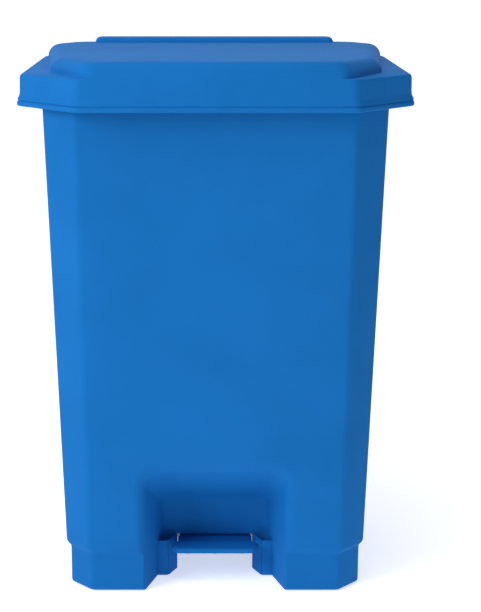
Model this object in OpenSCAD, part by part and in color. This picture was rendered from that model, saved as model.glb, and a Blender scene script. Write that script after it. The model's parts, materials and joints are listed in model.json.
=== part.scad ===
// Step-on pedal bin: moulded body with a foot recess, hinged overhanging lid,
// pedal lever under a false floor and a push rod in a channel up the rear wall.
// Units are millimetres, +Z is up, the foot recess faces -Y, the floor is Z = 0.

/* [Lid] */
// Width of the lid over its flared lip
lid_w = 460; // [430:1:490]
// Depth of the lid over its flared lip
lid_d = 400; // [380:1:420]
// Height of the lower lip edge above the floor
lip_z = 595; // [560:1:620]
// Height of the lid's outer ledge above its lip
skirt_h = 36; // [25:1:45]
// Height of the raised centre panel above the lip
dome_h = 54; // [45:1:65]
// Height of the rear hinge ridge above the lip
ridge_h = 60; // [55:1:75]
// Length of the rear hinge ridge
ridge_w = 310; // [240:1:340]
// How far the lip flares outwards
flare = 4; // [2:0.5:6]
// Height of the flared band
flare_h = 11; // [6:1:16]

/* [Body] */
// Body width at the rim
body_w_top = 402; // [380:1:410]
// Body width just above the foot band
body_w_bot = 368; // [340:1:380]
// Front wall position at the rim, measured from the lid centre
front_top = 173; // [165:1:180]
// Front wall position just above the foot band
front_bot = 150; // [140:1:165]
// Rear wall position at the rim
rear_top = 170; // [165:1:172]
// Height of the rim
rim_z = 625; // [600:1:628]
// Height of the foot band
band_h = 50; // [35:1:65]
// Inward step of the foot band
band_step = 5; // [3:0.5:8]
// Moulded wall thickness
wall = 3; // [2.5:0.1:4]
// Underside height of the false floor
floor_z = 78; // [76:1:90]
// How far the rim flange reaches out from the wall
flange = 13; // [8:1:14]

/* [Foot recess] */
// Width of the recess at the front face
rec_w = 176; // [160:1:190]
// Width of the recess at its back wall
rec_w_back = 130; // [110:1:140]
// Height of the recess opening
rec_z = 163; // [150:1:175]
// Height of the recess back wall
rec_z_back = 98; // [90:1:110]
// Back wall position, measured from the lid centre
rec_back = 77; // [70:1:85]
// Lower edge of the recess back wall
rec_slot_z = 48; // [46:1:52]
// Corner radius of the recess opening
rec_r = 26; // [16:1:32]

/* [Pedal] */
// Width of the pedal tread
tread_w = 108; // [90:1:116]
// Depth of the pedal tread
tread_d = 28; // [24:1:32]
// Front edge of the tread, measured from the lid centre
tread_front = 125; // [120:1:132]
// Top face of the tread
tread_z = 48; // [46:1:50]
// Thickness of the tread
tread_t = 7; // [6:0.5:9]
// Width of the pedal neck
neck_w = 90; // [70:1:90]
// Pedal axle position, measured from the lid centre
axle_y = 50; // [45:1:55]
// Pedal axle height
axle_z = 40; // [38:1:42]
// Pedal axle diameter
axle_d = 8; // [6:0.5:10]
// Length of the lever from axle to rod eye
lever_r = 198; // [190:1:200]

/* [Linkage] */
// Hinge axis position behind the lid centre
hinge_y = 184; // [182:1:185]
// Hinge axis height
hinge_z = 612; // [610:1:614]
// Hinge rod diameter
hinge_d = 6; // [5:0.5:7]
// Push rod diameter
rod_d = 5; // [4:0.5:6]
// Half the stroke of the push rod
half_stroke = 27.6; // [25:0.1:28]
// Lid opening angle
lid_open = 75; // [70:1:80]
// Clear width of the rear rod channel
chan_w = 44; // [36:1:50]
// Front face of the rod channel, behind the lid centre
chan_y = 130; // [128:1:132]

/* [Fits] */
// Radial clearance of shafts that turn in their holes
fit = 0.05; // [0.02:0.01:0.1]
// Gap between bodies that move past each other
gap = 0.4; // [0.3:0.05:0.6]

/* [Node] */
// Sub-part to draw

/* [Hidden] */
blue = [0.10, 0.36, 0.68];
grey = [0.62, 0.63, 0.65];
dark = [0.10, 0.10, 0.11];
pale = [0.80, 0.80, 0.78];
lid_x = lid_w / 2;
lid_y = lid_d / 2;
skirt_z = lip_z + skirt_h;
dome_z = lip_z + dome_h;
ridge_z = lip_z + ridge_h;
pad_h = 1.5;                       // how far the rubber feet stand below the band
rear_bot = rear_top;
tilt = asin(half_stroke / lever_r);  // rest slope of the lever below level
rod_y = -axle_y + lever_r * cos(tilt);
eye_z = axle_z - half_stroke;
pin_z = hinge_z - half_stroke;
rod_x = 8;
knuckle_r = 8;
knuckle_in = 90;
knuckle_out = 120;
foot_x = 150;
foot_yf = -112;
foot_yr = 132;
// Recess size carried on from the front wall to the start of its cut
rec_grow = (front_top + 12 - rec_back) / (front_bot + 3 - rec_back);
rec_xf = (rec_w_back + (rec_w - rec_w_back) * rec_grow) / 2;
rec_zf = rec_z_back + (rec_z - rec_z_back) * rec_grow;

// Octagon with half width x, front y0, rear y1 and its front and rear corner cuts
module oct(x, y0, y1, cf, cr) {
  polygon([[-x + cf, y0], [x - cf, y0], [x, y0 + cf * 1.04], [x, y1 - cr],
           [x - cr, y1], [-x + cr, y1], [-x, y1 - cr], [-x, y0 + cf * 1.04]]);
}

// Straight slab of that octagon
module slab(z, h, x, y0, y1, cf, cr) {
  translate([0, 0, z]) linear_extrude(h) oct(x, y0, y1, cf, cr);
}

// Raised lid panel: narrow at the front, nearly full width at the rear
module panel(z, side, front, rear) {
  y0 = -lid_y + flare - 0.5 + front;
  y1 = lid_y - 8 - rear;
  translate([0, 0, z]) linear_extrude(0.1)
    polygon([[-150 + side / 2, y0], [150 - side / 2, y0], [193 - side, -115 + front / 2],
             [221 - side, 150], [196 - side, y1], [-196 + side, y1], [-221 + side, 150],
             [-193 + side, -115 + front / 2]]);
}

function mix(a, b, t) = a + (b - a) * t;
function body_t(z) = (z - band_h) / (rim_z - band_h);
function body_x(z) = mix(body_w_bot, body_w_top, body_t(z)) / 2;
function body_f(z) = -mix(front_bot, front_top, body_t(z));

// Tapered tub from z0 to z1, set in by t
module tub(z0, z1, t) {
  hull() {
    slab(z0, 0.1, body_x(z0) - t, body_f(z0) + t, rear_top - t,
         mix(29, 40, body_t(z0)) - t * 0.6, mix(29, 40, body_t(z0)) - t * 0.6);
    slab(z1 - 0.1, 0.1, body_x(z1) - t, body_f(z1) + t, rear_top - t,
         mix(29, 40, body_t(z1)) - t * 0.6, mix(29, 40, body_t(z1)) - t * 0.6);
  }
}

// Foot recess volume grown by t; it runs out through the front wall
module recess(t) {
  hull() {
    for (s = [-1, 1]) {
      translate([s * (rec_xf - rec_r), -front_top - 12, rec_zf - rec_r])
        rotate([-90, 0, 0]) cylinder(r = rec_r + t, h = 1, $fn = 32);
      translate([s * (rec_w_back / 2 - 12), -rec_back - 1 + t, rec_z_back - 12])
        rotate([-90, 0, 0]) cylinder(r = 12 + t, h = 1, $fn = 32);
    }
    translate([-rec_xf - t, -front_top - 12, -5]) cube([2 * (rec_xf + t), 1, 20]);
    translate([-rec_w_back / 2 - t, -rec_back - 1 + t, -5]) cube([rec_w_back + 2 * t, 1, 20]);
  }
}

module hinge_cyl(x0, x1, r) {
  translate([x0, hinge_y, hinge_z]) rotate([0, 90, 0]) cylinder(r = r, h = x1 - x0, $fn = 48);
}

module axle_cyl(x0, x1, r) {
  translate([x0, -axle_y, axle_z]) rotate([0, 90, 0]) cylinder(r = r, h = x1 - x0, $fn = 48);
}

// Lever frame: origin on the axle, Y along the lever at rest
module lever_frame() {
  translate([0, -axle_y, axle_z]) rotate([-tilt, 0, 0]) children();
}

// ---- body ----
module body_solid() {
  tub(band_h, rim_z, 0);
  slab(pad_h, band_h - pad_h + 0.1, body_w_bot / 2 - band_step, -front_bot + band_step,
       rear_bot - band_step, 27, 27);
}

module body_shell() {
  color(blue) difference() {
    union() {
      difference() {
        body_solid();
        tub(floor_z + wall, rim_z + 1, wall);
        // Under-floor space
        slab(-1, floor_z + 1, body_w_bot / 2 - band_step - wall,
             -front_bot + band_step + wall, rear_bot - band_step - wall, 25, 25);
      }
      // Walls of the foot recess, kept inside the outer skin
      intersection() {
        body_solid();
        recess(wall);
      }
      // Rim flange with a turned-down edge
      difference() {
        slab(rim_z - 14, 14, body_w_top / 2 + flange, -front_top - 12, rear_top, 64, 44);
        slab(rim_z - 15, 11, body_w_top / 2 + flange - 2.5, -front_top - 9.5, rear_top - 3, 63, 42);
        slab(rim_z - 15, 17, body_w_top / 2 - 1.5, -front_top + 1.5, rear_top - 1, 40, 40);
      }
      // Rod channel up the rear wall, open into the under-floor space
      translate([-chan_w / 2 - wall, chan_y - wall, floor_z])
        cube([chan_w + 2 * wall, rear_top - chan_y + wall, rim_z - floor_z]);
      // Thicker wall beside the channel for the cover screws
      for (s = [-1, 1])
        translate([s * (chan_w / 2 + 6) - 6, rear_top - 7, floor_z]) cube([12, 7, 510]);
      // Screw pads behind the rod guides
      for (z = [200, 420])
        translate([-19, chan_y - wall - 6, z - 17]) cube([14, 7, 34]);
      // Screw bosses for the hinge brackets
      for (s = [-1, 1], x = [98, 112])
        translate([s * x, rear_top - 9, 599]) rotate([-90, 0, 0]) cylinder(r = 4.5, h = 7, $fn = 32);
      // Screw bosses for the axle brackets
      for (s = [-1, 1], y = [-62, -38])
        translate([s * 60, y, floor_z - 8]) cylinder(r = 5.5, h = 10, $fn = 32);
      // Foot sockets
      for (s = [-1, 1], y = [foot_yf, foot_yr])
        translate([s * foot_x, y, 6]) cylinder(r = 12, h = floor_z - 5, $fn = 48);
      // Guide ribs beside the pedal neck
      for (s = [-1, 1])
        translate([s * 59, -97, pad_h]) rotate([0, 0, s * 25])
          translate([-1.5, 0, 0]) cube([3, 24, rec_slot_z - pad_h]);
      for (s = [-1, 1])
        translate([s * 66 - 7, -99, pad_h]) cube([14, 3, rec_slot_z - pad_h]);
    }
    recess(0);
    // Slot for the pedal under the recess back wall
    translate([-neck_w / 2 - 4, -rec_back - 4, -1]) cube([neck_w + 8, 10, rec_slot_z + 1]);
    // Channel bore and its opening in the rear wall
    translate([-chan_w / 2, chan_y, -1]) cube([chan_w, rear_top - 7 - chan_y, rim_z + 3]);
    translate([-chan_w / 2, chan_y, 56]) cube([chan_w, rear_top + 5 - chan_y, rim_z]);
    // Rebate for the cover
    translate([-chan_w / 2 - 10, rear_top - 2.5, 58]) cube([chan_w + 20, 5, 504]);
    for (s = [-1, 1], x = [98, 112])
      translate([s * x, rear_top - 8, 599]) rotate([-90, 0, 0])
        cylinder(r = 1.5 + fit, h = 10, $fn = 24);
    for (s = [-1, 1], y = [-62, -38])
      translate([s * 60, y, floor_z - 9]) cylinder(r = 1.8 + fit, h = 10, $fn = 24);
    for (s = [-1, 1], y = [foot_yf, foot_yr])
      translate([s * foot_x, y, 5]) cylinder(r = 4 + fit, h = 13, $fn = 32);
    for (z = [200, 420], dz = [-11, 11])
      translate([-12, chan_y - wall - 4, z + dz]) rotate([-90, 0, 0])
        cylinder(r = 1.5 + fit, h = 12, $fn = 24);
    for (s = [-1, 1], z = [80, 310, 540])
      translate([s * 27, rear_top - 6, z]) rotate([-90, 0, 0])
        cylinder(r = 1.5 + fit, h = 8, $fn = 24);
  }
}

module foot_pads() {
  color(dark) for (s = [-1, 1], y = [foot_yf, foot_yr])
    translate([s * foot_x, y, 0]) {
      cylinder(r = 11, h = 5.9, $fn = 48);
      cylinder(r = 4, h = 16, $fn = 32);
    }
}

// Screwed-on bracket with two lugs that hold the hinge rod, on side s
module hinge_bracket(s) {
  color(blue) difference() {
    union() {
      translate([s * 105 - 24, rear_top + 0.05, 592]) cube([48, 3, 30]);
      for (x = [knuckle_in, knuckle_out]) {
        hinge_cyl(s * x - 6, s * x + 6, knuckle_r);
        translate([s * x - 6, rear_top + 2, hinge_z - 6])
          cube([12, hinge_y - rear_top - 2, 6 + knuckle_r - 0.5]);
      }
    }
    for (x = [knuckle_in, knuckle_out]) hinge_cyl(s * x - 7, s * x + 7, hinge_d / 2 + fit);
    for (x = [98, 112])
      translate([s * x, rear_top - 1, 599]) rotate([-90, 0, 0])
        cylinder(r = 1.5 + fit, h = 6, $fn = 24);
  }
}

module hinge_bracket_left() { hinge_bracket(-1); }
module hinge_bracket_right() { hinge_bracket(1); }

module hinge_screws() {
  color(grey) for (s = [-1, 1], x = [98, 112]) translate([s * x, 0, 599]) {
    translate([0, rear_top + 3.1, 0]) rotate([-90, 0, 0]) cylinder(r = 3, h = 1.8, $fn = 32);
    translate([0, rear_top - 7.5, 0]) rotate([-90, 0, 0]) cylinder(r = 1.5, h = 11, $fn = 24);
  }
}

module hinge_rod() {
  color(grey) hinge_cyl(-132, 132, hinge_d / 2);
}

module hinge_caps() {
  color(dark) for (s = [-1, 1]) difference() {
    hinge_cyl(s * 128.6 - 1.9, s * 128.6 + 1.9, 6);
    hinge_cyl(s * 128.6 - 3, s * 128.6 + 3, hinge_d / 2 + fit);
  }
}

// Bent plate that hangs the pedal axle from the floor bosses, on side s
module axle_bracket(s) {
  color(grey) difference() {
    union() {
      translate([s * 48 - 2, -axle_y - 16, 29]) cube([4, 32, 41]);
      translate([s * 58.5 - 12.5, -axle_y - 20, 66]) cube([25, 40, 3.9]);
    }
    axle_cyl(s * 48 - 4, s * 48 + 4, axle_d / 2 + fit);
    for (y = [-62, -38])
      translate([s * 60, y, 60]) cylinder(r = 1.8 + fit, h = 14, $fn = 24);
  }
}

module axle_bracket_left() { axle_bracket(-1); }
module axle_bracket_right() { axle_bracket(1); }

module bracket_screws() {
  color(grey) for (s = [-1, 1], y = [-62, -38]) translate([s * 60, y, 0]) {
    translate([0, 0, 63.4]) cylinder(r = 3.8, h = 2.5, $fn = 32);
    translate([0, 0, 65]) cylinder(r = 1.8, h = 13, $fn = 24);
  }
}

module pedal_axle() {
  color(grey) axle_cyl(-56, 56, axle_d / 2);
}

module axle_clips() {
  color(dark) for (s = [-1, 1]) difference() {
    axle_cyl(s * 51.3 - 0.8, s * 51.3 + 0.8, 7);
    axle_cyl(s * 51.3 - 2, s * 51.3 + 2, axle_d / 2 + fit);
  }
}

// Guide block that holds the rod at x = rod_x and lets it float front to back
module rod_guide(z) {
  color(pale) difference() {
    union() {
      translate([-18, chan_y + 0.1, z - 17]) cube([36, 3.9, 34]);
      translate([0, chan_y + 1, z - 6]) cube([16, 24, 12]);
    }
    for (y = [-1.6, 1.6])
      translate([rod_x, rod_y + 0.9 + y, z - 8]) cylinder(r = rod_d / 2 + gap, h = 16, $fn = 32);
    translate([rod_x - rod_d / 2 - gap, rod_y - 0.7, z - 8]) cube([rod_d + 2 * gap, 3.2, 16]);
    for (dz = [-11, 11])
      translate([-12, chan_y - 1, z + dz]) rotate([-90, 0, 0])
        cylinder(r = 1.5 + fit, h = 8, $fn = 24);
  }
}

module rod_guide_upper() { rod_guide(420); }
module rod_guide_lower() { rod_guide(200); }

module guide_screws() {
  color(grey) for (z = [200, 420], dz = [-11, 11]) translate([-12, 0, z + dz]) {
    translate([0, chan_y + 4.1, 0]) rotate([-90, 0, 0]) cylinder(r = 3, h = 2, $fn = 32);
    translate([0, chan_y - 6, 0]) rotate([-90, 0, 0]) cylinder(r = 1.5, h = 11, $fn = 24);
  }
}

module channel_cover() {
  color(blue) difference() {
    translate([-chan_w / 2 - 9.6, rear_top - 2.4, 58.4]) cube([chan_w + 19.2, 2.3, 503.2]);
    for (s = [-1, 1], z = [80, 310, 540])
      translate([s * 27, rear_top - 5, z]) rotate([-90, 0, 0])
        cylinder(r = 1.5 + fit, h = 8, $fn = 24);
  }
}

module cover_screws() {
  color(grey) for (s = [-1, 1], z = [80, 310, 540]) translate([s * 27, 0, z]) {
    translate([0, rear_top, 0]) rotate([-90, 0, 0]) cylinder(r = 3.2, h = 1.8, $fn = 32);
    translate([0, rear_top - 5.5, 0]) rotate([-90, 0, 0]) cylinder(r = 1.5, h = 6, $fn = 24);
  }
}

// Rubber buffer that stops the lever when the lid is fully open
module stop_pad() {
  color(dark) translate([0, 112, 72.5]) cylinder(r = 8, h = floor_z - 72.6, $fn = 32);
}

// ---- lid ----
module lid() {
  x = lid_x - flare;
  yf = -lid_y + flare - 1;
  yr = lid_y;
  color(blue) difference() {
    union() {
      hull() {
        slab(lip_z, 0.1, lid_x, -lid_y, lid_y, 72, 38);
        slab(lip_z + flare_h, 0.1, x, yf, yr, 70, 36);
      }
      slab(lip_z + flare_h, skirt_h - flare_h - 3, x, yf, yr, 70, 36);
      hull() {
        slab(skirt_z - 3.1, 0.1, x, yf, yr, 70, 36);
        slab(skirt_z - 0.1, 0.1, x - 3, yf + 0.5, yr - 3, 69, 36);
      }
      // Raised centre panel with a rounded edge
      hull() {
        panel(skirt_z - 1, 0, 0, 0);
        panel(dome_z - 12, 3, 1, 1.5);
        panel(dome_z - 5, 8, 3.5, 4.5);
        panel(dome_z - 0.1, 18, 11, 12);
      }
      // Rear ridge over the hinge
      hull() {
        translate([-ridge_w / 2 - 5, yr - 47, skirt_z - 2]) cube([ridge_w + 10, 43, 1]);
        translate([-ridge_w / 2, yr - 42, ridge_z - 1]) cube([ridge_w, 35, 1]);
      }
    }
    hull() {
      slab(lip_z - 1, 0.1, lid_x - wall, -lid_y + wall, lid_y - wall, 71, 37);
      slab(lip_z + flare_h, 0.1, x - wall, yf + wall, yr - wall, 68.5, 34.5);
    }
    slab(lip_z + flare_h, skirt_h - flare_h - wall, x - wall, yf + wall, yr - wall, 68.5, 34.5);
    hull() {
      panel(skirt_z - wall - 1, 3, 3, 3);
      panel(dome_z - 13, 6, 4.5, 5);
      panel(dome_z - wall - 0.1, 18, 12, 13);
    }
    // Hollow of the ridge on both sides of the crank
    for (s = [-1, 1])
      translate([s * 87 - 64, yr - 40, dome_z - 12]) cube([128, 31, ridge_z - dome_z + 9]);
    // Raised lower edge behind the hinge
    translate([-lid_x - 1, rear_top + 2, lip_z - 2]) cube([lid_w + 2, 40, 11]);
    for (s = [-1, 1])
      translate([s * 12, 165, dome_z - 5]) cylinder(r = 1.8 + fit, h = 9, $fn = 24);
  }
  // Hinge knuckles
  color(blue) for (s = [-1, 1]) difference() {
    union() {
      hinge_cyl(s * 105 - 8, s * 105 + 8, knuckle_r);
      translate([s * 105 - 8, hinge_y, hinge_z - 6])
        cube([16, yr - wall - hinge_y + 0.5, skirt_z - 2 - hinge_z + 6]);
    }
    hinge_cyl(s * 105 - 9, s * 105 + 9, hinge_d / 2 + fit);
  }
}

module lid_bumpers() {
  color(dark) for (s = [-1, 1], y = [-100, -25])
    translate([s * (lid_x - flare - 18), y, rim_z + 0.35])
      cylinder(r = 5, h = skirt_z - wall - rim_z - 0.4, $fn = 32);
}

// Slotted crank that the push rod lifts; it is screwed under the ridge
module crank_arm() {
  color(grey) difference() {
    union() {
      hinge_cyl(-6, 6, 8);
      // Arm with its tip rounded about the hinge axis
      intersection() {
        translate([0, hinge_y, hinge_z]) rotate([lid_open / 2, 0, 0])
          translate([-2.5, -54, -8.5]) cube([5, 52.5, 17]);
        hinge_cyl(-3, 3, 53.4);
      }
      translate([-2.2, 157, hinge_z - 4]) cube([4.4, 21, dome_z - wall - 1 - hinge_z + 4]);
      translate([-19, 156, dome_z - wall - 3.1]) cube([38, 18, 3]);
    }
    hinge_cyl(-8, 8, hinge_d / 2 + fit);
    translate([0, hinge_y, hinge_z]) rotate([lid_open / 2, 0, 0]) {
      for (r = [35.4, 47.6]) translate([-4, -r, 0]) rotate([0, 90, 0])
        cylinder(r = 4.3, h = 8, $fn = 32);
      translate([-4, -47.6, -4.3]) cube([8, 12.2, 8.6]);
    }
    for (s = [-1, 1])
      translate([s * 12, 165, dome_z - 10]) cylinder(r = 1.8 + fit, h = 12, $fn = 24);
  }
}

module crank_screws() {
  color(grey) for (s = [-1, 1]) translate([s * 12, 165, 0]) {
    translate([0, 0, dome_z - wall - 5.5]) cylinder(r = 3.6, h = 2.3, $fn = 32);
    translate([0, 0, dome_z - wall - 4]) cylinder(r = 1.8, h = 9, $fn = 24);
  }
}

// ---- pedal ----
module pedal() {
  color(blue) difference() {
    union() {
      // Tread with rounded corners
      translate([-tread_w / 2 + 8, -tread_front, tread_z - tread_t])
        cube([tread_w - 16, tread_d, tread_t]);
      translate([-tread_w / 2, -tread_front + 8, tread_z - tread_t])
        cube([tread_w, tread_d - 16, tread_t]);
      for (s = [-1, 1], y = [-tread_front + 8, -tread_front + tread_d - 8])
        translate([s * (tread_w / 2 - 8), y, tread_z - tread_t])
          cylinder(r = 8, h = tread_t, $fn = 48);
      // Neck that passes under the recess back wall
      translate([-neck_w / 2, -tread_front + tread_d - 4, axle_z - 3.5])
        cube([neck_w, tread_front - tread_d + 4 - axle_y, 7.5]);
      axle_cyl(-neck_w / 2, neck_w / 2, 8.5);
      for (x = [-34, 0, 34])
        translate([x - 2, -tread_front + 12, axle_z - 8])
          cube([4, tread_front - 12 - axle_y, 8]);
      // Socket for the lever
      lever_frame() translate([-8, 4, -12]) cube([16, 66, 24]);
    }
    axle_cyl(-neck_w / 2 - 1, neck_w / 2 + 1, axle_d / 2 + fit);
    lever_frame() translate([-2.05, 12, -8.05]) cube([4.1, 60, 16.1]);
    lever_frame() for (y = [26, 56]) translate([-10, y, 0]) rotate([0, 90, 0])
      cylinder(r = 2.5 + fit, h = 20, $fn = 32);
  }
}

module lever_arm() {
  color(grey) lever_frame() difference() {
    union() {
      translate([-2, 12.5, -8]) cube([4, lever_r - 12.5, 16]);
      translate([-2, lever_r, 0]) rotate([0, 90, 0]) cylinder(r = 8, h = 4, $fn = 48);
    }
    translate([-3, lever_r, 0]) rotate([0, 90, 0]) cylinder(r = rod_d / 2 + fit, h = 6, $fn = 32);
    for (y = [26, 56]) translate([-3, y, 0]) rotate([0, 90, 0])
      cylinder(r = 2.5 + fit, h = 6, $fn = 32);
  }
}

module lever_rivets() {
  color(grey) lever_frame() for (y = [26, 56]) translate([0, y, 0]) rotate([0, 90, 0]) {
    translate([0, 0, -9.6]) cylinder(r = 2.5, h = 19.2, $fn = 32);
    translate([0, 0, -10]) cylinder(r = 4.2, h = 1.8, $fn = 32);
    translate([0, 0, 8.2]) cylinder(r = 4.2, h = 1.8, $fn = 32);
  }
}

// ---- push rod ----
// Quarter bend from +X to the rod's axis, at height z, turned up (s = 1) or down (s = -1)
module rod_bend(z, s) {
  translate([rod_x - 5, rod_y, z + s * 5]) rotate([90, 0, 0])
    rotate([0, 0, s > 0 ? -90 : 0]) rotate_extrude(angle = 90, $fn = 48)
      translate([5, 0]) circle(d = rod_d, $fn = 32);
}

module push_rod() {
  color(grey) {
    translate([rod_x, rod_y, eye_z + 5]) cylinder(d = rod_d, h = pin_z - eye_z - 10, $fn = 32);
    rod_bend(eye_z, 1);
    rod_bend(pin_z, -1);
    translate([-6.5, rod_y, eye_z]) rotate([0, 90, 0])
      cylinder(d = rod_d, h = rod_x - 5 + 6.5, $fn = 32);
    translate([-7.5, rod_y, pin_z]) rotate([0, 90, 0])
      cylinder(d = rod_d, h = rod_x - 5 + 7.5, $fn = 32);
  }
}

module rod_clips() {
  color(dark) for (p = [[-5.2, eye_z], [-6, pin_z]])
    translate([p[0], rod_y, p[1]]) rotate([0, 90, 0]) difference() {
      cylinder(r = 5.5, h = 1.6, center = true, $fn = 32);
      cylinder(r = rod_d / 2 + fit, h = 4, center = true, $fn = 32);
    }
}

body_shell();
foot_pads();
hinge_bracket_left();
hinge_bracket_right();
hinge_screws();
hinge_rod();
hinge_caps();
axle_bracket_left();
axle_bracket_right();
bracket_screws();
pedal_axle();
axle_clips();
rod_guide_upper();
rod_guide_lower();
guide_screws();
channel_cover();
cover_screws();
stop_pad();
lid();
lid_bumpers();
crank_arm();
crank_screws();
pedal();
lever_arm();
lever_rivets();
push_rod();
rod_clips();
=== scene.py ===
import bpy
import json
from math import sin, cos, tan, pi, radians
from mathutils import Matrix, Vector


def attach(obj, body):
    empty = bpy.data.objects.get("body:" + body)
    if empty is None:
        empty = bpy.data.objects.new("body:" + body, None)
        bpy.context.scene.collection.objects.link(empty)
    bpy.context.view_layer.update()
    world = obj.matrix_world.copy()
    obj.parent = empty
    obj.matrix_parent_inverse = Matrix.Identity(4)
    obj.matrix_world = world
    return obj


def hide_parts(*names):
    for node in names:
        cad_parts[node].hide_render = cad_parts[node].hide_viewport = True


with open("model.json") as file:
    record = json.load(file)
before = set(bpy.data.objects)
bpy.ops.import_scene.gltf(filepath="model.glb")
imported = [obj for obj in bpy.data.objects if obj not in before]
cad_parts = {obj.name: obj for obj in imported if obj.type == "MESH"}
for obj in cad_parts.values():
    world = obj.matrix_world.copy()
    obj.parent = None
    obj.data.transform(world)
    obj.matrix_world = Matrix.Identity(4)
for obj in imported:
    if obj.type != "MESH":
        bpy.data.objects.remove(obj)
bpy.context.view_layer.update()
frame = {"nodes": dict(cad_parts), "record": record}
MM = 0.001  # shapes are written in mm, Blender works in metres


# ---------------------------------------------------------------- materials
def new_mat(name):
    m = bpy.data.materials.new(name)
    m.use_nodes = True
    nt = m.node_tree
    return m, nt, nt.nodes["Principled BSDF"]


def noise(nt, coords, scale, detail):
    n = nt.nodes.new("ShaderNodeTexNoise")
    n.inputs["Scale"].default_value = scale
    n.inputs["Detail"].default_value = detail
    nt.links.new(coords.outputs["Object"], n.inputs["Vector"])
    return n


def colour_by(nt, p, fac, dark, light, low, high):
    """Base colour that drifts from dark to light as the noise goes from low to high."""
    ramp = nt.nodes.new("ShaderNodeValToRGB")
    for stop, at, rgb in zip(ramp.color_ramp.elements, (low, high), (dark, light)):
        stop.position = at
        stop.color = (*rgb, 1)
    nt.links.new(fac.outputs["Fac"], ramp.inputs["Fac"])
    nt.links.new(ramp.outputs["Color"], p.inputs["Base Color"])


def roughness_by(nt, p, fac, low, high):
    rr = nt.nodes.new("ShaderNodeMapRange")
    rr.inputs["To Min"].default_value = low
    rr.inputs["To Max"].default_value = high
    nt.links.new(fac.outputs["Fac"], rr.inputs["Value"])
    nt.links.new(rr.outputs["Result"], p.inputs["Roughness"])


def bump_by(nt, p, fac, strength, distance):
    b = nt.nodes.new("ShaderNodeBump")
    b.inputs["Strength"].default_value = strength
    b.inputs["Distance"].default_value = distance
    nt.links.new(fac.outputs["Fac"], b.inputs["Height"])
    nt.links.new(b.outputs["Normal"], p.inputs["Normal"])


def plastic(name, dark, light, rough, rough_var=0.06, scale=9.0, bump=0.06, spec=0.5):
    """Moulded plastic: cloudy colour drift, fine surface grain and uneven gloss."""
    m, nt, p = new_mat(name)
    coords = nt.nodes.new("ShaderNodeTexCoord")
    colour_by(nt, p, noise(nt, coords, scale, 4.0), dark, light, 0.3, 0.7)
    roughness_by(nt, p, noise(nt, coords, scale * 3.1, 5.0),
                 rough - rough_var, rough + rough_var)
    bump_by(nt, p, noise(nt, coords, 900.0, 2.0), bump, 0.0003)
    p.inputs["IOR"].default_value = 1.49
    p.inputs["Specular IOR Level"].default_value = spec
    return m


def metal(name, dark, light, rough):
    """Plated steel: uneven gloss and slight tarnish."""
    m, nt, p = new_mat(name)
    coords = nt.nodes.new("ShaderNodeTexCoord")
    tarnish = noise(nt, coords, 60.0, 6.0)
    colour_by(nt, p, tarnish, dark, light, 0.35, 0.65)
    roughness_by(nt, p, tarnish, rough - 0.08, rough + 0.10)
    bump_by(nt, p, tarnish, 0.08, 0.0002)
    p.inputs["Metallic"].default_value = 1.0
    return m


BLUE = plastic("blue_plastic", (0.0055, 0.142, 0.445), (0.007, 0.158, 0.495),
               0.74, spec=0.08)
BLUE_IN = plastic("blue_plastic_inside", (0.0055, 0.130, 0.41), (0.007, 0.146, 0.46),
                  0.62, spec=0.15)
RUBBER = plastic("black_rubber", (0.012, 0.012, 0.013), (0.022, 0.022, 0.023),
                 0.75, 0.06, 25, 0.2)
BLACK = plastic("black_plastic", (0.018, 0.018, 0.02), (0.028, 0.028, 0.03),
                0.45, 0.06, 25)
WHITE = plastic("white_plastic", (0.68, 0.67, 0.63), (0.76, 0.75, 0.71),
                0.4, 0.05, 30)
ZINC = metal("zinc_steel", (0.42, 0.43, 0.44), (0.60, 0.61, 0.62), 0.34)
SPRING = metal("spring_steel", (0.16, 0.16, 0.165), (0.26, 0.26, 0.265), 0.38)


# ---------------------------------------------------------------- mesh tools
BOX_FACES = [(3, 2, 1, 0), (4, 5, 6, 7), (0, 1, 5, 4),
             (1, 2, 6, 5), (2, 3, 7, 6), (3, 0, 4, 7)]
ARC = 6  # steps in each rounded corner of an outline


def sharp_by_angle(o, deg):
    o.data.shade_smooth()
    o.data.set_sharp_from_angle(angle=radians(deg))


def make(name, verts, faces, mat, smooth=40.0):
    me = bpy.data.meshes.new(name)
    me.from_pydata([(x * MM, y * MM, z * MM) for x, y, z in verts], [], faces)
    me.validate()
    o = bpy.data.objects.new(name, me)
    bpy.context.scene.collection.objects.link(o)
    me.materials.append(mat)
    if smooth:
        sharp_by_angle(o, smooth)
    return o


def octagon(x, yf, yr, cf, cr, r, n=ARC, rb=None):
    """Rounded octagon, counter-clockwise from the front left corner cut.

    The front corners are cut by cf, the rear ones by cr; rb rounds the rear.
    """
    cfy = cf * 1.04
    return rounded([(-x + cf, yf), (x - cf, yf), (x, yf + cfy), (x, yr - cr),
                    (x - cr, yr), (-x + cr, yr), (-x, yr - cr), (-x, yf + cfy)],
                   r, n, rb)


def rounded(p, r, n=ARC, rb=None):
    """Eight-cornered outline with its corners rounded by r, or rb at the rear."""
    out = []
    for i in range(8):
        a, b, c = Vector(p[i - 1]), Vector(p[i]), Vector(p[(i + 1) % 8])
        u, v = (a - b).normalized(), (c - b).normalized()
        half = u.angle(v) / 2
        rad = rb if rb is not None and 3 <= i <= 6 else r
        t = min(rad / tan(half), 0.45 * (a - b).length, 0.45 * (c - b).length)
        rr = t * tan(half)
        centre = b + (u + v).normalized() * (rr / sin(half))
        s, e = b + u * t - centre, b + v * t - centre
        ang = s.angle(e)
        for k in range(n + 1):
            f = k / n
            q = (s * sin((1 - f) * ang) + e * sin(f * ang)) / sin(ang)
            out.append((centre.x + q.x, centre.y + q.y))
    return out


def at_height(outline, z):
    return [(x, y, z) for x, y in outline]


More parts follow.
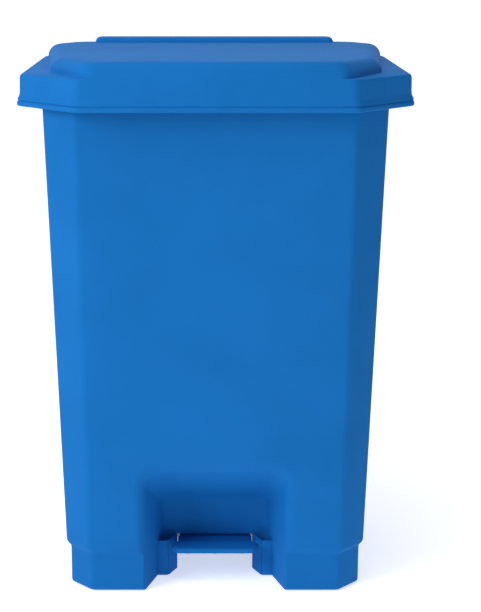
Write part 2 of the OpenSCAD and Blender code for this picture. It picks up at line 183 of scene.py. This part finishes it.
def loft(name, rings, mat):
    """Closed solid through rings of (x, y, z) with equal counts; both ends are capped."""
    n = len(rings[0])
    verts = [p for r in rings for p in r]
    faces = []
    for j in range(len(rings) - 1):
        for i in range(n):
            k = (i + 1) % n
            faces.append((j * n + i, j * n + k, (j + 1) * n + k, (j + 1) * n + i))
    faces.append(tuple(reversed(range(n))))
    last = (len(rings) - 1) * n
    faces.append(tuple(range(last, last + n)))
    return make(name, verts, faces, mat)


def apply_mods(o):
    dg = bpy.context.evaluated_depsgraph_get()
    me = bpy.data.meshes.new_from_object(o.evaluated_get(dg), depsgraph=dg)
    old = o.data
    o.modifiers.clear()
    o.data = me
    bpy.data.meshes.remove(old)


def soften(o, width):
    """Round every edge sharper than 35 degrees."""
    m = o.modifiers.new("soft", "BEVEL")
    m.width = width * MM
    m.segments = 3
    m.limit_method = "ANGLE"
    m.angle_limit = radians(35.0)
    apply_mods(o)
    sharp_by_angle(o, 50)


def box(name, lo, hi, mat, bevel=0.8):
    x0, y0, z0 = lo
    x1, y1, z1 = hi
    v = [(x0, y0, z0), (x1, y0, z0), (x1, y1, z0), (x0, y1, z0),
         (x0, y0, z1), (x1, y0, z1), (x1, y1, z1), (x0, y1, z1)]
    o = make(name, v, BOX_FACES, mat, 0)
    if bevel:
        soften(o, bevel)
    return o


def rod(name, a, b, r, mat, n=40, cham=0.0):
    """Solid round bar from a to b, with its end edges cut by cham."""
    a, b = Vector(a), Vector(b)
    length = (b - a).length
    d = (b - a).normalized()
    side = d.orthogonal().normalized()
    up = d.cross(side)
    prof = [(0, r), (length, r)]
    if cham:
        prof = [(0, r - cham), (cham, r), (length - cham, r), (length, r - cham)]
    rings = []
    for h, q in prof:
        ring = []
        for i in range(n):
            t = 2 * pi * i / n
            ring.append(tuple(a + d * h + (side * cos(t) + up * sin(t)) * q))
        rings.append(ring)
    return loft(name, rings, mat)


def boolean(o, other, op="DIFFERENCE"):
    m = o.modifiers.new("b", "BOOLEAN")
    m.operation = op
    m.solver = "EXACT"
    m.use_self = True
    m.use_hole_tolerant = True
    m.object = other
    bpy.context.view_layer.update()
    apply_mods(o)
    bpy.data.objects.remove(other)


def join(name, objs):
    """One object from several; their materials are kept."""
    mats, verts, faces, mi = [], [], [], []
    for o in objs:
        me = o.data
        base = len(verts)
        verts += [tuple(v.co) for v in me.vertices]
        slots = []
        for m in me.materials:
            if m not in mats:
                mats.append(m)
            slots.append(mats.index(m))
        for p in me.polygons:
            faces.append(tuple(base + i for i in p.vertices))
            mi.append(slots[p.material_index] if slots else 0)
    me = bpy.data.meshes.new(name)
    me.from_pydata(verts, [], faces)
    for m in mats:
        me.materials.append(m)
    me.polygons.foreach_set("material_index", mi)
    out = bpy.data.objects.new(name, me)
    bpy.context.scene.collection.objects.link(out)
    for o in objs:
        bpy.data.objects.remove(o)
    sharp_by_angle(out, 40)
    return out


def mix(a, b, t):
    return a + (b - a) * t


def smooth01(t):
    t = max(0.0, min(1.0, t))
    return t * t * (3 - 2 * t)


# ---------------------------------------------------------------- body
BAND, RIM, REAR = 50.0, 625.0, 170.0  # top of the foot band, rim height, rear wall
RIM_EDGE = (214, -185, 171, 64, 44)   # outline of the rim flange, as octagon() takes it

# foot recess: half width and height at the front and at the back, and its depth
REC_W, REC_WB = 88.0, 65.0
REC_Z, REC_ZB = 163.0, 98.0
REC_D = 74.6
REC_ROLL = 11.0  # reach of its rolled front edge


def body_t(z):
    return (z - BAND) / (RIM - BAND)


def body_x(z):
    return mix(184.0, 201.0, body_t(z))


def body_f(z):
    return -mix(150.0, 173.0, body_t(z))


def body_c(z):
    return mix(29.0, 40.0, body_t(z))


def body_ring(z, inset=0.0, r=14.0):
    """Wall outline at height z, with the shape at BAND kept below it."""
    zb = max(z, BAND)
    c = body_c(zb) - 0.6 * inset
    return at_height(octagon(body_x(zb) - inset, body_f(zb) + inset, REAR - inset,
                             c, c, r), z)


def band_ring(z, inset=0.0, r=12.0, k=0.0):
    """Foot band outline; k blends it to the wall outline above."""
    top = BAND + 10
    x = mix(179.0, body_x(top), k) - inset
    yf = mix(-145.0, body_f(top), k) + inset
    yr = mix(165.0, REAR, k) - inset
    c = mix(27.0, body_c(top), k)
    return at_height(octagon(x, yf, yr, c, c, r), z)


def outer_body():
    rings = [band_ring(1.5, 2.0), band_ring(1.9, 0.9), band_ring(2.6, 0.25),
             band_ring(3.6), band_ring(46.5)]
    for z, k in ((48.5, 0.03), (50.0, 0.13), (51.5, 0.31), (53.5, 0.6), (55.5, 0.83),
                 (57.5, 0.95), (60.0, 1.0)):
        rings.append(band_ring(z, 0.0, 12.5, k))
    for z in (90, 140, 200, 280, 360, 440, 520, 580, 606, 624.9):
        rings.append(body_ring(z))
    return loft("body_outer", rings, BLUE)


def rim_flange():
    """Flange with a turned-down edge, kept flush with the wall at the back."""
    x, yf, yr, cf, cr = RIM_EDGE
    # inside of the wall, up over the top, down the outer lip and back under
    rings = [at_height(octagon(*outline, 14), z) for z, outline in (
        (612, (198.2, -170.4, 167.2, 39, 39)),
        (623.5, (198.2, -170.4, 167.2, 39, 39)),
        (625, (199.3, -171.5, 168.0, 39.5, 39.5)),
        (625, (x - 2.5, yf + 2.5, yr - 1.2, cf - 3, cr - 1)),
        (624.3, (x - 0.8, yf + 0.8, yr - 0.3, cf, cr)),
        (622.5, RIM_EDGE),
        (612, RIM_EDGE),
        (611, (x - 1.2, yf + 1.2, yr - 0.4, cf, cr)),
        (612, (x - 2.5, yf + 2.5, yr - 0.8, cf - 3, cr - 1)),
        (620.5, (x - 2.8, yf + 2.8, yr - 1.0, cf - 3, cr - 1)),
        (621.5, (199.4, -171.8, 169.5, 40, 40)))]
    n, m = len(rings[0]), len(rings)
    verts = [p for r in rings for p in r]
    faces = []
    for j in range(m):
        a, b = j * n, ((j + 1) % m) * n
        for i in range(n):
            k = (i + 1) % n
            faces.append((a + k, a + i, b + i, b + k))
    return make("rim", verts, faces, BLUE)


def recess_section(d, grow, flare):
    """Doorway outline at depth d behind the front wall plane."""
    t = d / REC_D
    w = mix(REC_W, REC_WB, t) + grow + flare
    top = mix(REC_Z, REC_ZB, t) + grow + flare
    r = max(4.0, mix(26.0, 12.0, max(0.0, min(1.0, t))) + grow + flare)
    bottom, n = -30.0, 10
    pts = [(-w, bottom), (-w, BAND)]
    for side, start in ((-1, pi), (1, pi / 2)):
        for k in range(n + 1):
            a = start - (pi / 2) * k / n
            pts.append((side * (w - r) + r * cos(a), top - r + r * sin(a)))
    pts += [(w, BAND), (w, bottom)]
    return [(x, body_f(max(z, BAND)) + d, z) for x, z in pts]


def recess_solid(name, grow, back_r):
    """The foot recess as a solid, grown by a wall's thickness; back_r rounds its back."""
    secs = [recess_section(-30.0, grow, REC_ROLL - grow)]
    for k in range(0, 11):
        a = (pi / 2) * (1 - k / 10)
        d = REC_ROLL - (REC_ROLL - grow) * sin(a)
        off = REC_ROLL - (REC_ROLL - grow) * cos(a)
        secs.append(recess_section(d - 0.02, grow, off - grow))
    flat = REC_D + grow - back_r
    secs.append(recess_section(flat, grow, 0.0))
    for k in range(1, 7):
        a = (pi / 2) * k / 6
        secs.append(recess_section(flat + back_r * sin(a), grow, -back_r * (1 - cos(a))))
    return loft(name, secs, BLUE)


def build_body():
    shell = outer_body()
    # inside of the bin, with the walls of the recess and the rod channel kept
    inner = loft("inner", [body_ring(z, inset, 12) for z, inset in (
        (81.0, 9.0), (81.6, 6.0), (83.5, 4.2), (88.0, 3.0), (200, 3.0), (340, 3.0),
        (480, 3.0), (600, 3.0), (640, 3.0))], BLUE_IN)
    boolean(inner, recess_solid("r3", 3.0, 9.0))
    boolean(inner, box("chan", (-25, 127, 60), (25, 200, 700), BLUE_IN, 0))
    boolean(shell, inner)
    # space under the false floor
    under = octagon(176, -142, 162, 25, 25, 8)
    under = loft("under", [at_height(under, z) for z in (-10, 78)], BLUE)
    boolean(under, recess_solid("r3b", 3.0, 8.0))
    boolean(shell, under)
    # foot recess and the slot for the pedal's neck
    boolean(shell, recess_solid("r0", 0.0, 7.0))
    boolean(shell, box("pslot", (-49, -84, -5), (49, -68, 48), BLUE, 0))
    # rod channel, its rear opening and the rebate for its cover
    boolean(shell, box("cbore", (-22, 130, -5), (22, 163, 700), BLUE_IN, 0))
    boolean(shell, box("copen", (-22, 150, 56), (22, 200, 700), BLUE_IN, 0))
    boolean(shell, box("creb", (-32, 167.5, 58), (32, 180, 562), BLUE, 0))
    sharp_by_angle(shell, 28)
    rim = rim_flange()
    boolean(rim, box("cut", (-22, 150, 500), (22, 200, 700), BLUE, 0))
    parts = [shell, rim]
    # ribs beside the pedal neck, sockets, bosses and thick wall by the channel
    for s in (-1, 1):
        parts.append(box("lip", (s * 66 - 7, -99, 1.5), (s * 66 + 7, -96, 48), BLUE, 0.6))
        a = radians(25) * s
        v = []
        for z in (1.5, 48.0):
            for dx, dy in ((-1.5, 0), (1.5, 0), (1.5, 24), (-1.5, 24)):
                v.append((s * 59 + dx * cos(a) - dy * sin(a),
                          -97 + dx * sin(a) + dy * cos(a), z))
        rib = make("rib", v, BOX_FACES, BLUE, 0)
        soften(rib, 0.6)
        parts.append(rib)
        for y in (-112, 132):
            parts.append(rod("socket", (s * 150, y, 6), (s * 150, y, 79), 12, BLUE,
                             48, 0.6))
        for y in (-62, -38):
            parts.append(rod("boss", (s * 60, y, 70), (s * 60, y, 79), 5.5, BLUE,
                             32, 0.4))
        parts.append(box("thick", (s * 28 - 6, 163, 78), (s * 28 + 6, 167.5, 588),
                         BLUE, 0.5))
        for x in (98, 112):
            parts.append(rod("hboss", (s * x, 161, 599), (s * x, 168, 599), 4.5, BLUE_IN,
                             32, 0.4))
    for z in (200, 420):
        parts.append(box("gpad", (-19, 121, z - 17), (-5, 127.5, z + 17), BLUE_IN, 1.2))
    body = join("bin_body", parts)
    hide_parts("body_shell")
    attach(body, "body")


# ---------------------------------------------------------------- lid
LIP_Z = 595.0         # bottom of the lip
PANEL_Z = 632.2       # foot of the raised panel
HINGE = (184, 612)    # y and z of the hinge axis


def lid_ring(z, side, front, rear, cf, cr, rb=26.0, rear_lift=True):
    """Outline set in by side, front and rear from the lip outline.

    rear_lift raises the low rings over the hinge at the back.
    """
    out = []
    for x, y in octagon(230 - side, -200 + front, 200 - rear, cf, cr, 16.0, rb=rb):
        zz = z
        if rear_lift:
            lift = smooth01((y - 166.0) / 9.0)
            zz = mix(z, max(z, 604.0 + (z - LIP_Z) * 0.2), lift)
        out.append((x, y, zz))
    return out


def panel_ring(z, side, front, rear, r=24.0, rb=22.0):
    """Outline of the raised panel: narrow at the front, nearly full width at the rear."""
    y0, y1 = -196.5 + front, 192.0 - rear
    p = [(-150 + 0.75 * side, y0), (150 - 0.75 * side, y0),
         (193 - side, -115 + front / 2), (221 - side, 150 - 0.6 * rear),
         (196 - side, y1), (-196 + side, y1),
         (-221 + side, 150 - 0.6 * rear), (-193 + side, -115 + front / 2)]
    out = []
    for x, y in rounded(p, r, rb=rb):
        k = 1 + 0.11 * smooth01((-y - 60) / 130)
        out.append((x, y, PANEL_Z + (z - PANEL_Z) * k if z > PANEL_Z else z))
    return out


def lid_outside():
    # lip bead, groove, flare band, foot of the skirt
    rings = [lid_ring(*row) for row in (
        (LIP_Z, 1.6, 1.6, 1.2, 71, 38), (595.5, 0.6, 0.6, 0.5, 71.5, 38),
        (596.8, 0.0, 0.0, 0.0, 72, 38), (599.2, 0.0, 0.0, 0.0, 72, 38),
        (600.3, 0.5, 0.5, 0.1, 72, 38), (600.9, 1.3, 1.3, 0.3, 71.7, 38),
        (601.6, 1.4, 1.4, 0.3, 71.6, 38), (602.3, 0.7, 0.7, 0.2, 71.6, 38),
        (603.4, 0.9, 0.9, 0.2, 71.5, 38), (605.5, 2.0, 2.0, 0.3, 71, 37.5),
        (607.5, 2.9, 2.7, 0.4, 70.5, 37), (610.0, 3.4, 3.0, 0.5, 70, 36))]
    # skirt, then the rounded top edge of the ledge and the ledge
    rings += [lid_ring(*row, rear_lift=False) for row in (
        (618.0, 3.6, 3.2, 0.6, 70, 36), (627.5, 3.8, 3.4, 0.8, 70, 36),
        (629.3, 4.2, 3.42, 1.0, 70, 36), (630.6, 5.1, 3.44, 1.8, 69.5, 36),
        (631.3, 6.6, 3.46, 3.0, 69, 35.5), (631.5, 8.2, 3.48, 4.2, 68.5, 35))]
    # raised panel with a rounded shoulder and a nearly flat top
    rings += [panel_ring(PANEL_Z, 0.8, 0.05, 0.8), panel_ring(632.8, 1.4, 0.1, 1.2)]
    for k in range(1, 11):
        a = (pi / 2) * k / 10
        c = 1 - cos(a)
        rings.append(panel_ring(632.8 + 15.9 * sin(a), 1.4 + 17.6 * c,
                                0.1 + 8.5 * c ** 1.3, 1.2 + 11 * c))
    return rings + [panel_ring(*row) for row in (
        (648.85, 26, 14, 18, 22, 20), (649.0, 70, 45, 50, 20, 16),
        (649.2, 110, 80, 90, 16, 12))]


def lid_inside():
    # hollow of the panel, from its middle down
    rings = [panel_ring(*row) for row in (
        (646.2, 110, 80, 90, 16, 12), (646.0, 70, 45, 50, 20, 16), (645.5, 20, 12, 13),
        (643.0, 12, 6.0, 8), (637.0, 5.6, 4.2, 5.2), (629.5, 4.0, 3.6, 4.0),
        (628.4, 3.6, 3.5, 3.6))]
    # hollow of the skirt, down to the lip
    rings += [lid_ring(*row, 24, False) for row in (
        (628.0, 9.8, 6.8, 5.4, 68, 35), (626.5, 7.6, 6.6, 4, 69, 35),
        (612.0, 7.0, 6.2, 3.4, 69.5, 35))]
    return rings + [lid_ring(*row) for row in (
        (606.0, 6.0, 5.4, 3.3, 70, 36, 24), (598.0, 3.4, 3.4, 3.1, 71, 37, 24),
        (595.6, 3.2, 3.2, 3.0, 71, 37, 24), (595.1, 2.4, 2.4, 2.2, 71, 37.5, 25))]


def lid_skin():
    """Closed skin: outer rings up, inner rings down, joined at the lip."""
    outside, inside = lid_outside(), lid_inside()
    rings = outside + inside
    n, m, no = len(rings[0]), len(rings), len(outside)
    verts = [p for r in rings for p in r]
    faces = []
    for j in range(m):
        if j == no - 1:
            continue
        a, b = j * n, ((j + 1) % m) * n
        for i in range(n):
            k = (i + 1) % n
            faces.append((a + i, a + k, b + k, b + i))
    last = (no - 1) * n
    faces.append(tuple(range(last, last + n)))
    faces.append(tuple(reversed(range(no * n, no * n + n))))
    return make("lid_skin", verts, faces, BLUE)


def rear_ridge():
    """Hollow ridge over the hinge."""
    rings = []
    for z, side, front, rear in ((629, -0.4, -0.2, -0.2), (641, 0.4, 0.6, 0.4),
                                 (647, 1.4, 2.0, 1.0), (651.5, 2.6, 3.2, 1.8),
                                 (653.6, 3.6, 4.2, 2.8), (654.6, 5.0, 5.4, 4.2),
                                 (655.0, 7.0, 7.4, 6.2)):
        rings.append(at_height(octagon(160 - side, 153 + front, 197.5 - rear,
                                       5.0, 5.0, 2.0, 4), z))
    ridge = loft("ridge", rings, BLUE)
    for s in (-1, 1):
        boolean(ridge, box("rc", (s * 87 - 64, 160, 620), (s * 87 + 64, 191, 652),
                           BLUE, 0))
    return ridge


def build_lid():
    parts = [lid_skin(), rear_ridge()]
    y, z = HINGE
    for s in (-1, 1):
        x0, x1 = s * 105 - 8, s * 105 + 8
        k = rod("knuckle", (x0, y, z), (x1, y, z), 8, BLUE, 48, 0.6)
        boolean(k, box("kweb", (x0, y, 606), (x1, 197.5, 629), BLUE, 0), "UNION")
        boolean(k, rod("kb", (x0 - 12, y, z), (x1 + 12, y, z), 3.05, BLUE))
        parts.append(k)
    lid = join("lid_moulding", parts)
    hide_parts("lid")
    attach(lid, "lid")


# ---------------------------------------------------------------- pedal
AXLE_Y, AXLE_Z = -50, 40  # the pedal's axle, along X
LEVER_TILT = 0.13987      # the lever's slope at rest, close to asin(27.6 / 198)


def set_on_lever(o):
    """Turn a shape drawn about the origin to the lever's slope and put it on the axle."""
    for v in o.data.vertices:
        y, z = v.co.y, v.co.z
        v.co.y = y * cos(-LEVER_TILT) - z * sin(-LEVER_TILT) + AXLE_Y * MM
        v.co.z = y * sin(-LEVER_TILT) + z * cos(-LEVER_TILT) + AXLE_Z * MM
    return o


def build_pedal():
    tread = loft("tread", [
        at_height(octagon(54 - g, -125 + g, -97 - g, 7.5, 7.5, 7.0, 5), z)
        for z, g in ((41.0, 1.6), (41.5, 0.5), (42.8, 0.0), (45.2, 0.0), (46.5, 0.4),
                     (47.4, 1.2), (47.9, 2.4), (48.0, 4.2))], BLUE)
    neck = box("neck", (-45, -101, 36.5), (45, AXLE_Y, 44), BLUE, 1.0)
    parts = [tread, neck]
    parts.append(box("shoulder", (-46.5, -100.4, 37.2), (46.5, -70, 43.4), BLUE))
    for x in (-34, 0, 34):
        parts.append(box("rib", (x - 2, -103, 32), (x + 2, AXLE_Y, 41.5), BLUE, 0.5))
    # socket for the lever, and the hub bored for the axle
    sock = set_on_lever(box("sock", (-8, 4, -12), (8, 70, 12), BLUE, 1.0))
    boolean(sock, set_on_lever(box("h", (-2.05, 12, -8.05), (2.05, 80, 8.05), BLUE, 0)))
    hub = rod("hub", (-45, AXLE_Y, AXLE_Z), (45, AXLE_Y, AXLE_Z), 8.5, BLUE, 48, 0.6)
    boolean(hub, rod("hb", (-60, AXLE_Y, AXLE_Z), (60, AXLE_Y, AXLE_Z), 4.05, BLUE))
    parts += [sock, hub]
    pedal = join("pedal_moulding", parts)
    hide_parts("pedal")
    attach(pedal, "pedal")


build_body()
build_lid()
build_pedal()

SLOT_MATS = {"blue_plastic": BLUE, "black_rubber": RUBBER, "black_plastic": BLACK,
             "white_plastic": WHITE, "zinc_steel": ZINC, "spring_steel": SPRING}
for sp in frame["record"]["subparts"]:
    node = frame["nodes"][sp["node"]]
    node.data.materials.clear()
    node.data.materials.append(SLOT_MATS[sp["material_slot"]])


# ---------------------------------------------------------------- stage
FLOOR_RGB = (0.93, 0.935, 0.94)
FLOOR_GLOW = 0.56           # emission that keeps the floor near white
FLOOR_HALF = 8.0            # half of the floor's width, m
FLOOR_FRONT, BEND_Y, BEND_R, BACK_TOP = -6.0, 3.2, 1.2, 6.0
WORLD_RGB, WORLD_STRENGTH = (0.95, 0.97, 1.0), 0.2


def floor():
    """Floor that curves up into a backdrop."""
    prof = [(FLOOR_FRONT, 0.0), (BEND_Y, 0.0)]
    for k in range(1, 13):
        a = (pi / 2) * k / 12
        prof.append((BEND_Y + BEND_R * sin(a), BEND_R * (1 - cos(a))))
    prof.append((BEND_Y + BEND_R, BACK_TOP))
    v = [(x, y, z) for y, z in prof for x in (-FLOOR_HALF, FLOOR_HALF)]
    f = [(2 * i, 2 * i + 1, 2 * i + 3, 2 * i + 2) for i in range(len(prof) - 1)]
    me = bpy.data.meshes.new("floor")
    me.from_pydata(v, [], f)
    me.shade_smooth()
    o = bpy.data.objects.new("floor", me)
    bpy.context.scene.collection.objects.link(o)
    m, nt, p = new_mat("floor")
    coords = nt.nodes.new("ShaderNodeTexCoord")
    colour_by(nt, p, noise(nt, coords, 1.4, 2.0), [0.985 * c for c in FLOOR_RGB],
              FLOOR_RGB, 0.0, 1.0)
    p.inputs["Roughness"].default_value = 0.8
    p.inputs["Specular IOR Level"].default_value = 0.2
    p.inputs["Emission Color"].default_value = (1, 1, 1, 1)
    p.inputs["Emission Strength"].default_value = FLOOR_GLOW
    me.materials.append(m)
    return o


FLOOR = floor()

world = bpy.context.scene.world or bpy.data.worlds.new("world")
bpy.context.scene.world = world
world.use_nodes = True
bg = world.node_tree.nodes["Background"]
bg.inputs["Color"].default_value = (*WORLD_RGB, 1)
bg.inputs["Strength"].default_value = WORLD_STRENGTH


def square_light(name, loc, target, size, power):
    """Soft light at loc that faces target; metres and watts."""
    d = bpy.data.lights.new(name, "AREA")
    d.shape = "RECTANGLE"
    d.size = d.size_y = size
    d.energy = power
    o = bpy.data.objects.new(name, d)
    bpy.context.scene.collection.objects.link(o)
    o.location = loc
    aim = Vector(target) - Vector(loc)
    o.rotation_euler = aim.to_track_quat("-Z", "Y").to_euler()


square_light("key", (-1.50, -1.22, 1.32), (0, 0, 0.35), 0.9, 21)
square_light("top", (-0.2, -0.5, 2.6), (0, 0, 0.6), 1.6, 26)
square_light("fill", (0.35, -2.3, 0.95), (0, 0, 0.2), 0.7, 1.5)
bpy.context.scene.view_settings.view_transform = "Standard"

# camera in front of the bin: place in metres, downward tilt in degrees
CAM_X, CAM_DIST, CAM_HEIGHT, CAM_TILT = -0.012, 1.880, 0.782, 13.6
SENSOR_MM, LENS_MM = 36.0, 113.4636
CAM_SHIFT = 0.073132  # sideways framing of the photo, as a fraction of the image's width

cam = bpy.data.cameras.new("camera")
cam_o = bpy.data.objects.new("camera", cam)
bpy.context.scene.collection.objects.link(cam_o)
cam.sensor_fit = "HORIZONTAL"
cam.sensor_width = SENSOR_MM
cam.lens = LENS_MM
cam_o.location = (CAM_X, -CAM_DIST, CAM_HEIGHT)
cam_o.rotation_euler = (radians(90 - CAM_TILT), 0, 0)
cam.shift_x = CAM_SHIFT
cam.clip_end = 60
bpy.context.scene.camera = cam_o
